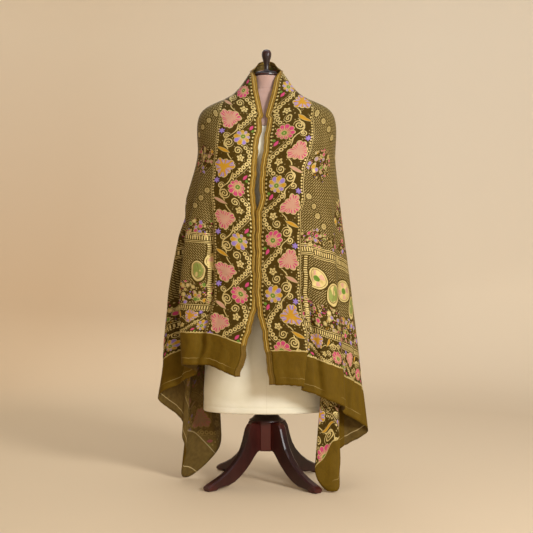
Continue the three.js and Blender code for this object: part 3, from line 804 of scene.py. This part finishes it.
def woven_field(place, long, wide, from_end, from_edge, wobble, in_field):
    """Masks of the field's pattern and of the bands near its ends, in the same order."""
    # a diagonal net of dashes, with trails of rosettes and posies in turn
    mirrored = long.size()
    across_net = (mirrored + wide) * (DIAGONAL / NET_LINE)
    along_net = (wide - mirrored) * (DIAGONAL / NET_DASH) + across_net.floor() * 0.5
    net = (((along_net.part() - 0.5) * NET_DASH).size() - 6.4).inside(1.6)
    net = stroke((across_net.part() - 0.5) * NET_LINE, 1.15, 1.2) * net
    row = ((wide - 140) * (1 / POSY_ROW)).floor()
    shifted = mirrored + row * (POSY_REPEAT / 2)
    dy = wide - row * POSY_ROW - 212
    dx = repeat_round(shifted, 343, POSY_REPEAT)[0]
    trail = dx * 0.75 + dy * 0.66
    beside = dx * 0.66 - dy * 0.75
    rosette_turn = ((trail * (1 / 39)).part() - 0.5) * 39
    rosette_reach = reach(rosette_turn, beside)
    rosette_round = (beside.maths("ARCTAN2", rosette_turn) * 8).cosine()
    rosette_rim = rosette_reach - 9.8 - rosette_round + (trail.size() - 76).most(0)
    rosette = rosette_rim.inside() * (1 - stroke(rosette_reach - 3.6, 0.8) * 0.7)
    dx = repeat_round(shifted, 476, POSY_REPEAT)[0]
    posy_reach = reach(dx, dy) + wobble * 55
    band_reach = (from_end - 262).size() + wobble * 40
    top_reach = (from_end - 512).size() + wobble * 60 + ((wide * 0.042).sine() * 26).size() - 8
    in_pallu = (from_end - PALLU).inside(1)
    posy = (posy_reach - 50).inside(2) * (1 - in_pallu)
    posy = posy.most((band_reach - 36).inside(2)).most((top_reach - 22).inside(2))
    posy = posy * in_field
    cells, pick, other_pick = place.cells(55.0, 0.7)
    cell_heart = (cells - 0.36).inside(0.12) * posy
    cell_rim = (cells - 0.47).inside(0.1) * posy * (1 - cell_heart)
    small, small_pick, _ = place.cells(150.0, 0.9)
    small_dot = (small - 0.34).inside(0.2) * posy * (1 - cell_heart) * (1 - cell_rim)

    # end of the field: gold bands, ladders, round medallions and leaf medallions
    left_half = (long * 20 + 10).inside()
    across_end = wide - left_half * (MEDALLION_REPEAT / 2)
    dx = repeat_round(across_end, 232, MEDALLION_REPEAT)[0]
    dy = from_end - 377
    medal_rim = reach(dx * 0.82, dy * 1.06) - 36
    medal_petals = (dy.maths("ARCTAN2", dx) * 4).sine()
    dx = repeat_round(across_end, 300, MEDALLION_REPEAT)[0]
    dy = from_end - 352
    leaf_rim = reach(dx * 1.1, dy * 0.75) - 25 + dy * 0.24
    leaf_rib = stroke(dx, 0.9) * (leaf_rim + 9).inside()
    inner_lines = stroke(medal_rim + 5.5, 0.9).most(stroke(leaf_rim + 5.5, 0.9)).most(leaf_rib)
    beside_fold = left_half * ((wide - 452).size() - 190).inside()
    medal_rim = medal_rim + beside_fold * 90
    leaf_rim = leaf_rim + beside_fold * 90
    in_medal = medal_rim.inside().most(leaf_rim.inside()) * in_field * (1 - inner_lines * 0.8)
    clear = (medal_rim - 4).inside(1.5).most((leaf_rim - 4).inside(1.5)) * in_field
    from_top = (from_end - TOP_BAND).size()
    from_low = (from_end - LOW_BAND).size()
    bars = stroke(((wide * (1 / 8.4)).part() - 0.5) * 8.4, 2.2)
    bands = ((from_top - 7).inside() * bars).most((from_low - 6).inside() * bars)
    bands = bands.most(stroke(from_top - 11.5, 1.1)).most(stroke(from_low - 10, 1.0))
    bands = bands.most(stroke(from_top - 17, 1.3))
    rungs = stroke(((long * (1 / 7.6)).part() - 0.5) * 7.6, 2.1)
    from_ladder = (from_edge - LADDER).size()
    ladder = (from_ladder - 6).inside() * rungs
    ladder = ladder * (from_end - 440).inside() * (218 - from_end).inside()
    clear_bands = (from_top - 20).inside().most((from_low - 13).inside())
    clear_bands = clear_bands.most((from_ladder - 11).inside() * (from_end - 455).inside())
    field_gold = net * 0.62 * (1 - posy) * (1 - clear) * (1 - clear_bands)
    field_gold = field_gold * (1 - (rosette_rim - 3).inside(1) * (1 - in_pallu))
    field_gold = field_gold.most(rosette * (1 - in_pallu) * (1 - posy) * 0.72)
    field_gold = field_gold.most(cell_rim * 0.9).most(small_dot * stroke(small_pick - 0.3, 0.3, 0.02))
    field_gold = (field_gold * (1 - clear)).most(bands).most(ladder).most(in_medal)
    shown = cell_heart * (1 - clear) * (1 - clear_bands)
    speck = small_dot * (1 - clear)
    pale_pick = 1 - stroke(other_pick - 0.9, 0.1, 0.02)

    def picked(middle, half_width):
        return shown * stroke(pick - middle, half_width, 0.02)

    def specked(middle, half_width):
        return speck * stroke(small_pick - middle, half_width, 0.02)

    medal_silk = in_medal * (medal_rim + 7).inside(1) * (0.1 - medal_petals).inside(0.3)
    medal_silk = medal_silk * stroke(medal_rim + 17, 7.5)
    leaf_silk = in_medal * (leaf_rim + 7).inside(1) * (wobble * 40 - 3).inside(2) * 0.75
    medal_heart = in_medal * (medal_rim + 26).inside(1)
    return [
        field_gold.most(shown * (1 - pale_pick)),
        (picked(0.42, 0.14) * pale_pick).most(specked(0.68, 0.08)),
        (picked(0.64, 0.08) * pale_pick).most(medal_silk),
        (picked(0.16, 0.12) * pale_pick).most(specked(0.8, 0.04)),
        (picked(0.80, 0.08) * pale_pick).most(specked(0.9, 0.05)),
        picked(0.94, 0.06).most(leaf_silk).most(medal_heart),
    ]


def woven(place):
    """Masks of the woven pattern at a place on the flat cloth, by the colour of the yarn."""
    split = place.node("ShaderNodeSeparateXYZ", None, {0: place})
    long = split * 1000
    wide = split.output_at(1) * 1000
    from_end = (END_RIGHT - long).least(long + END_LEFT)
    from_edge = wide.least(CLOTH_ACROSS - wide)
    wobble = place.noise(42.0, 1.0) - 0.5
    # borders along both long edges, and a smaller one across each end
    crossing = (from_end - (PLAIN_END + CROSS_BORDER)).inside(1) * (BORDER_WIDTH - from_edge).inside(1)
    course = (long + 86) + crossing * (wide * 1.5 - (long + 86))
    inset = from_edge + crossing * ((from_end - PLAIN_END) * 1.55 + 26 - from_edge)
    in_border = (from_edge - BORDER_WIDTH).inside(1).most(crossing)
    in_field = (1 - in_border) * (PLAIN_END - from_end).inside(1)
    border = woven_border(course, inset, place, wobble)
    field = woven_field(place, long, wide, from_end, from_edge, wobble, in_field)
    masks = [(mask * in_border).most(more * in_field) for mask, more in zip(border, field)]
    return long, wide, from_end, masks


# silk yarns: pink, salmon, violet, orange and green, in the order of the masks after the gold
YARNS = ["a4345a", "a47a64", "7a63a0", "a2760e", "4f6a1a"]

brocade, shader, start = new_material("brocade")
place = start.map_place("flat")
long, wide, from_end, masks = woven(place)
cloudy = place.noise(30.0, 3.0)
slub = place.node("ShaderNodeMapping", None, {"Vector": place, "Scale": (60.0, 900.0, 1.0)}).noise(1.0)
mottle = (cloudy * 0.6 + slub * 0.6 - 0.1).scaled(1.0, 0.0)
end_band = (from_end - PLAIN_END).inside(1)
faint = place.noise(9.0).scaled(3.0, -1.2)
end_lines = (stroke(from_end - 25, 0.9) * faint * 0.8).most(stroke(from_end - PLAIN_END + 1, 1.8) * 0.8)
ground = mottle.over(shade("322504"), shade("4c3806"))
plain = mottle.over(shade("4d3807"), shade("6a510e"))
zari = mottle.over(shade("8a6e28"), shade("e1cd8e"))
colour = end_band.over(ground, plain)
gold_all = (masks[0] * (1 - end_band)).most(end_lines)
colour = gold_all.over(colour, zari)
silk_all = masks[1]
for mask, code in list(zip(masks[1:], YARNS))[::-1]:
    lighter = tuple(min(1.0, c * 1.4 + 0.02) for c in shade(code))
    colour = (mask * (1 - end_band)).over(colour, mottle.over(shade(code), lighter))
    silk_all = silk_all.most(mask)
feed(shader, "Base Color", colour)
feed(shader, "Metallic", gold_all * 0.22)
feed(shader, "Specular IOR Level", 0.08)
feed(shader, "Roughness", 0.66 - gold_all * 0.26)
feed(shader, "Sheen Weight", 0.03)
feed(shader, "Sheen Roughness", 0.4)
feed(shader, "Sheen Tint", (0.9, 0.75, 0.4, 1.0))
threads = (long * (2 * math.pi / 1.5)).sine() * (wide * (2 * math.pi / 1.5)).sine()
height = gold_all.most(silk_all) * 0.8 + threads * 0.2 + slub * 0.6
crumple = place.noise(17.0, 3.0, 0.6).bump(0.6, 0.009)
feed(shader, "Normal", height.bump(0.45, 0.0007, crumple))

reverse, shader, start = new_material("brocade_reverse")
place = start.map_place("flat")
long, wide, from_end, masks = woven(place)
cloudy = place.noise(70.0, 4.0)
mottle = cloudy.scaled(1.6, -0.3)
end_band = (from_end - PLAIN_END).inside(1)
end_lines = stroke(from_end - 25, 1.2).most(stroke(from_end - PLAIN_END + 1, 1.6) * 0.6)
colour = mottle.over(shade("4a3710"), shade("65501f"))
colour = (masks[0] * (1 - end_band) * 0.34).over(colour, shade("9c8246"))
for mask, code in list(zip(masks[1:], YARNS))[::-1]:
    colour = (mask * (1 - end_band) * 0.32).over(colour, shade(code))
colour = (end_lines * 0.55).over(colour, shade("cdb884"))
feed(shader, "Base Color", colour)
feed(shader, "Roughness", 0.74)
feed(shader, "Specular IOR Level", 0.2)
feed(shader, "Sheen Weight", 0.05)
floats = (long * (2 * math.pi / 3.2)).sine() * 0.5 + cloudy
feed(shader, "Normal", floats.bump(0.4, 0.0006))

dupatta.data.materials.append(brocade)
dupatta.data.materials.append(reverse)
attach(dupatta, "root")
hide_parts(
    "neck_stretch", "left_front", "left_side", "left_tail",
    "back", "right_tail", "right_side", "right_front",
)

# Gold edging: a narrow band of mustard cords woven along the upper long edge of the dupatta, from the
# left end, round the neck and down to the right end. It is 2 mm thick, the firmest part of the cloth.
EDGING_WALL = 2.0
EDGING_LEAN = 0.8
EDGING_OFF = 0.4
CORDS = 2
CORD_RISE = 0.8
UNDERLAP_RISE = 1.55
CAP_CLEARANCE = 52.5
# at the two front corners of the neck it turns sharply, and stands a little off the cloth
CORNER_HEIGHT = 1294
CORNER_SPREAD = 10
CORNER_LIFT = 1.3
CORNER_SHIFTS = (2.5, 0.9)


def along_top(grid):
    """The part of a grid that lies on the upper long edge, from the left end to the right end."""
    return np.concatenate([grid[::-1, 0], grid[0, 1:], grid[1:, -1]])


boundary, boundary_normals, boundary_flat = [along_top(grid) for grid in (cloth, normals, flat)]
tangent = np.gradient(boundary, axis=0)
outward = np.cross(tangent, boundary_normals)
outward /= np.linalg.norm(outward, axis=1, keepdims=True)
inward = -boundary * (1, 1, 0)
inward /= np.maximum(np.linalg.norm(inward, axis=1, keepdims=True), 1)
lean = np.clip((boundary[:, 2] - 1400) / 60, 0, 1) * EDGING_LEAN
outward = outward * (1 - 0.4 * lean)[:, None] + inward * lean[:, None]
outward /= np.linalg.norm(outward, axis=1, keepdims=True)
for _ in range(30):
    outward[1:-1] = 0.5 * outward[1:-1] + 0.25 * (outward[:-2] + outward[2:])
outward /= np.linalg.norm(outward, axis=1, keepdims=True)
edging_shares = np.linspace(-0.12, 1, 10)
edging_grid = boundary[None] + outward[None] * (edging_shares * EDGING_WIDTH)[:, None, None]
from_axis = np.linalg.norm(edging_grid[..., :2], axis=2)
edging_heights = edging_grid[..., 2]
beside_cap = np.clip((edging_heights - 1380) / 20, 0, 1) * np.clip((1484 - edging_heights) / 10, 0, 1)
clearance = np.maximum(CAP_CLEARANCE - from_axis, 0) * beside_cap
edging_grid[..., :2] *= (1 + clearance / np.maximum(from_axis, 1))[..., None]
cord_rise = CORD_RISE * np.cos(edging_shares * 2 * math.pi * CORDS) + 0.5
cord_rise[:2] = UNDERLAP_RISE
edging_along = np.broadcast_to(boundary_flat[:, 0], edging_grid.shape[:2])
edging_across = np.broadcast_to((edging_shares * EDGING_WIDTH)[:, None], edging_grid.shape[:2])
edging_flat = np.stack([edging_along, edging_across], -1)
edging_normals = np.broadcast_to(boundary_normals[None], edging_grid.shape)
corner = np.exp(-(((boundary[:, 2] - CORNER_HEIGHT) / CORNER_SPREAD) ** 2))
for row, shift in enumerate(CORNER_SHIFTS):
    edging_grid[row] += outward * (shift * corner)[:, None]
lift = EDGING_OFF + cord_rise[:, None, None] + (CORNER_LIFT * corner)[None, :, None]
edging_grid = edging_grid + edging_normals * lift
edging = shell("gold_edging", edging_grid[::-1], edging_flat[::-1], edging_normals, EDGING_WALL)
edging_cloth, shader, start = new_material("edging_cloth")
place = start.map_place("flat")
split = place.node("ShaderNodeSeparateXYZ", None, {0: place})
long = split * 1000
across = split.output_at(1) * 1000
from_end = (END_RIGHT - long).least(long + END_LEFT)
mottle = place.noise(60.0, 3.0).scaled(1.6, -0.3)
colour = mottle.over(shade("6c4f09"), shade("9a761c"))
groove = stroke(across - 9.2, 0.9).most(stroke(across - 15.6, 0.9)).most(stroke(across - 2.2, 0.8))
colour = (groove * 0.7).over(colour, shade("4d370d"))
bright = stroke(across - 5.6, 1.9)
dashes = stroke(((long * (1 / 5.2)).part() - 0.5) * 5.2, 1.9)
colour = (bright * (0.2 + dashes * 0.45)).over(colour, shade("bfa356"))
plain_end = (from_end - (PLAIN_END - 6)).inside(2)
colour = (plain_end * 0.92).over(colour, mottle.over(shade("574006"), shade("71540d")))
feed(shader, "Base Color", colour)
feed(shader, "Roughness", 0.56)
feed(shader, "Specular IOR Level", 0.2)
feed(shader, "Sheen Weight", 0.05)
cords = (across * (2 * math.pi / 3.1)).sine() * 0.5 + (long * (2 * math.pi / 2.0)).sine() * 0.35
feed(shader, "Normal", cords.bump(0.5, 0.0008))
edging.data.materials.append(edging_cloth)
edging.data.materials.append(edging_cloth)
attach(edging, "root")
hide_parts("neck_edging", "left_edging", "right_edging")

# Dress form: a hollow torso covered in cream calico, cut in panels and seamed, its lower edge turned
# under. The yoke and neck above it are covered in rose cotton, drawn tight and sewn round the top.
FORM_SECTIONS = [
    # height, half width, depth to the front, depth to the back
    (254, 228, 117, 112), (330, 226, 119, 114), (460, 221, 120, 117), (600, 210, 119, 119),
    (720, 198, 117, 120), (820, 182, 115, 114), (900, 158, 110, 100), (975, 134, 107, 86),
    (1040, 142, 113, 86), (1110, 160, 126, 92), (1165, 176, 134, 98), (1215, 200, 120, 104),
    (1255, 220.5, 101, 107), (1290, 232.6, 87, 103), (1310.5, 233.6, 78, 96), (1328.6, 225, 71, 88),
    (1344.6, 205, 65, 80), (1358.6, 177, 61, 73), (1372.6, 141.4, 58, 67), (1385.6, 103.4, 55, 61),
    (1396.5, 72, 54, 57), (1404, 53.5, 52, 52.5),
]
FORM_STEPS = 160
FORM_SQUARENESS = 0.92
YOKE_FROM = 1266
YOKE_TOP = 1404
form_at = table_curve(FORM_SECTIONS)


def form_loops(name, heights, shrink, wrinkle):
    """A closed body of loops round the form; its UV map is the share of girth and the height in metres."""
    bearings = np.linspace(0, 2 * math.pi, FORM_STEPS, endpoint=False)
    points = []
    for height, inset in zip(heights, shrink):
        half, front, behind = form_at([height])[0]
        across, depth = np.cos(bearings), np.sin(bearings)
        x = (half - inset) * np.sign(across) * np.abs(across) ** FORM_SQUARENESS
        y = np.where(depth < 0, (front - inset) * depth, (behind - inset) * depth)
        dent = wrinkle(bearings, height)
        scale = 1 - dent / np.maximum(np.hypot(x, y), 1)
        points.append(np.stack([x * scale, y * scale, np.full(FORM_STEPS, height)], 1))
    rings = len(points)
    points = np.concatenate(points) * MM
    points[:, 0] += AXIS_X
    points[:, 1] += AXIS_Y
    faces = []
    for j in range(rings - 1):
        for k in range(FORM_STEPS):
            p, q = j * FORM_STEPS + k, j * FORM_STEPS + (k + 1) % FORM_STEPS
            faces.append((p, q, q + FORM_STEPS, p + FORM_STEPS))
    faces.append(tuple(reversed(range(FORM_STEPS))))
    faces.append(tuple((rings - 1) * FORM_STEPS + k for k in range(FORM_STEPS)))
    piece = add_mesh(name, points, faces)
    layer = piece.data.uv_layers.new(name="girth")
    for polygon in piece.data.polygons:
        columns = [v % FORM_STEPS for v in polygon.vertices]
        wraps = max(columns) - min(columns) > FORM_STEPS / 2
        for loop, v in zip(polygon.loop_indices, polygon.vertices):
            column = v % FORM_STEPS
            share = (column + FORM_STEPS if wraps and column < FORM_STEPS / 2 else column) / FORM_STEPS
            layer.data[loop].uv = (share, heights[v // FORM_STEPS] * MM)
    smooth(piece, flat_ends=2)
    return piece


def calico_wrinkle(bearings, height):
    low = np.clip((620 - height) / 260, 0, 1)
    soft = 1.0 + np.sin(bearings * 5 + height * 0.013) * np.cos(bearings * 3 - height * 0.021)
    droop = 1.1 * np.exp(-(((height - 300 - 6 * np.sin(bearings * 7)) / 9) ** 2))
    return low * (1.3 * soft + droop) + 0.15


cover_heights = [254, 254.6, 256.5, 259, 262, 268, 274, 275.6, 278, 286]
cover_shrink = [5.5, 2.6, 0.9, 0.3, 0.1, 0.1, 0.1, 0.9, 0.1, 0.1]
plain_heights = list(np.linspace(294, YOKE_FROM - 4, 96))
cover_heights += plain_heights + [YOKE_FROM - 1.6, YOKE_FROM - 0.5]
cover_shrink += [0.1] * len(plain_heights) + [0.8, 2.4]
form_cover = form_loops("form_cover", cover_heights, cover_shrink, calico_wrinkle)
plain_heights = list(np.linspace(YOKE_FROM + 8, YOKE_TOP - 2, 40))
yoke_heights = [YOKE_FROM, YOKE_FROM + 1.0, YOKE_FROM + 3.4] + plain_heights + [YOKE_TOP]
yoke_shrink = [2.6, 1.0, 0.2] + [0.15] * len(plain_heights) + [0.3]
form_yoke = form_loops("form_yoke", yoke_heights, yoke_shrink, lambda bearings, height: 0.05)

THREADS_ROUND = 520
STITCHES_ROUND = 300
PANELS = 4
calico, shader, start = new_material("calico")
place = start.map_place("girth")
split = place.node("ShaderNodeSeparateXYZ", None, {0: place})
girth = split
height = split.output_at(1) * 1000
cloudy = start.object_place().noise(14.0, 4.0)
weave = (girth * (2 * math.pi * THREADS_ROUND)).sine() * 0.5 + (height * (2 * math.pi / 2.2)).sine() * 0.5
mottle = cloudy.scaled(1.4, -0.2)
colour = mottle.over(shade("d8d2b8"), shade("ebe6d5"))
seam = stroke(((girth * PANELS + 0.5).part() - 0.5) * 320, 0.8, 1.0)
hem_line = stroke(height - 274.5, 0.8) * stroke(((girth * STITCHES_ROUND).part() - 0.5) * 4.4, 1.4)
colour = (seam.most(hem_line) * 0.14).over(colour, shade("a3946c"))
feed(shader, "Base Color", colour)
feed(shader, "Roughness", 0.86)
feed(shader, "Sheen Weight", 0.12)
height_map = weave * 0.2 + cloudy * 1.2 - seam * 0.5
feed(shader, "Normal", height_map.bump(0.35, 0.0012))
form_cover.data.materials.append(calico)

rose_cotton, shader, start = new_material("rose_cotton")
spot = start.object_place()
split = spot.node("ShaderNodeSeparateXYZ", None, {0: spot})
cloudy = spot.noise(30.0, 3.0)
mottle = cloudy.scaled(1.4, -0.2)
colour = mottle.over(shade("a08176"), shade("b39387"))
ribs = split.output_at(2) * (2 * math.pi / 0.0022)
height_map = ribs.sine() * 0.3 + cloudy
feed(shader, "Base Color", colour)
feed(shader, "Roughness", 0.8)
feed(shader, "Sheen Weight", 0.12)
feed(shader, "Normal", height_map.bump(0.3, 0.001))
form_yoke.data.materials.append(rose_cotton)
for piece, name in ((form_cover, "calico"), (form_yoke, "neck_cover")):
    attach(piece, "root")
    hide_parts("form_body")

NECK_PROFILE = [
    # radius, height
    (51.6, 1404.1), (52, 1404.3), (51.7, 1407), (50, 1411), (49, 1415), (47.9, 1420), (47, 1427),
    (46.6, 1436), (46.5, 1445), (46.5, 1449), (46.2, 1451.5), (45, 1452.8), (42, 1453),
]
neck_cover = lathe("neck_cover", [(r * MM, z * MM) for r, z in NECK_PROFILE], 96, (AXIS_X, AXIS_Y))
smooth(neck_cover, flat_ends=2)
neck_cover.data.materials.append(rose_cotton)
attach(neck_cover, "root")
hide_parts("form_neck")

# Stand: turned cap and finial, collar, an eight-sided block and four shaped legs, all of mahogany,
# dowelled and glued, stained nearly black and rubbed back to red along the edges under a gloss lacquer;
# the lighter red on the sharp edges is also a painted highlight along the ridges.
mahogany, shader, start = new_material("mahogany")
spot = start.object_place()
stretched = spot.node("ShaderNodeMapping", None, {"Vector": spot, "Scale": (55.0, 55.0, 7.0)})
grain = stretched.noise(1.0, 5.0, 0.6)
tone = (grain * 0.8 + spot.noise(9.0) * 0.9 - 0.45).scaled(1.5, -0.1)
colour = tone.over(shade("0a0303"), shade("290907"))
# Painted highlight and wear: the sharp edges, found by pointiness, are painted a lighter red.
pointiness = start.node("ShaderNodeNewGeometry", out=7)
wear_and_edge_highlight = pointiness.scaled(9.0, -4.75)
colour = (wear_and_edge_highlight * 0.4).over(colour, shade("6a2014"))
feed(shader, "Base Color", colour)
feed(shader, "Roughness", tone * 0.12 + 0.34)
feed(shader, "Specular IOR Level", 0.32)
feed(shader, "Coat Weight", 0.22)
feed(shader, "Coat Roughness", 0.3)
feed(shader, "Normal", grain.bump(0.12, 0.0006))
WOODEN_NODES = (
    "neck_cap", "finial", "stand_collar", "stand_block",
    "leg_front_left", "leg_front_right", "leg_back_right", "leg_back_left",
)
for name in WOODEN_NODES:
    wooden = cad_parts[name]
    if not wooden.data.materials:
        wooden.data.materials.append(mahogany)
    for held in wooden.material_slots:
        held.link = "OBJECT"
        held.material = mahogany
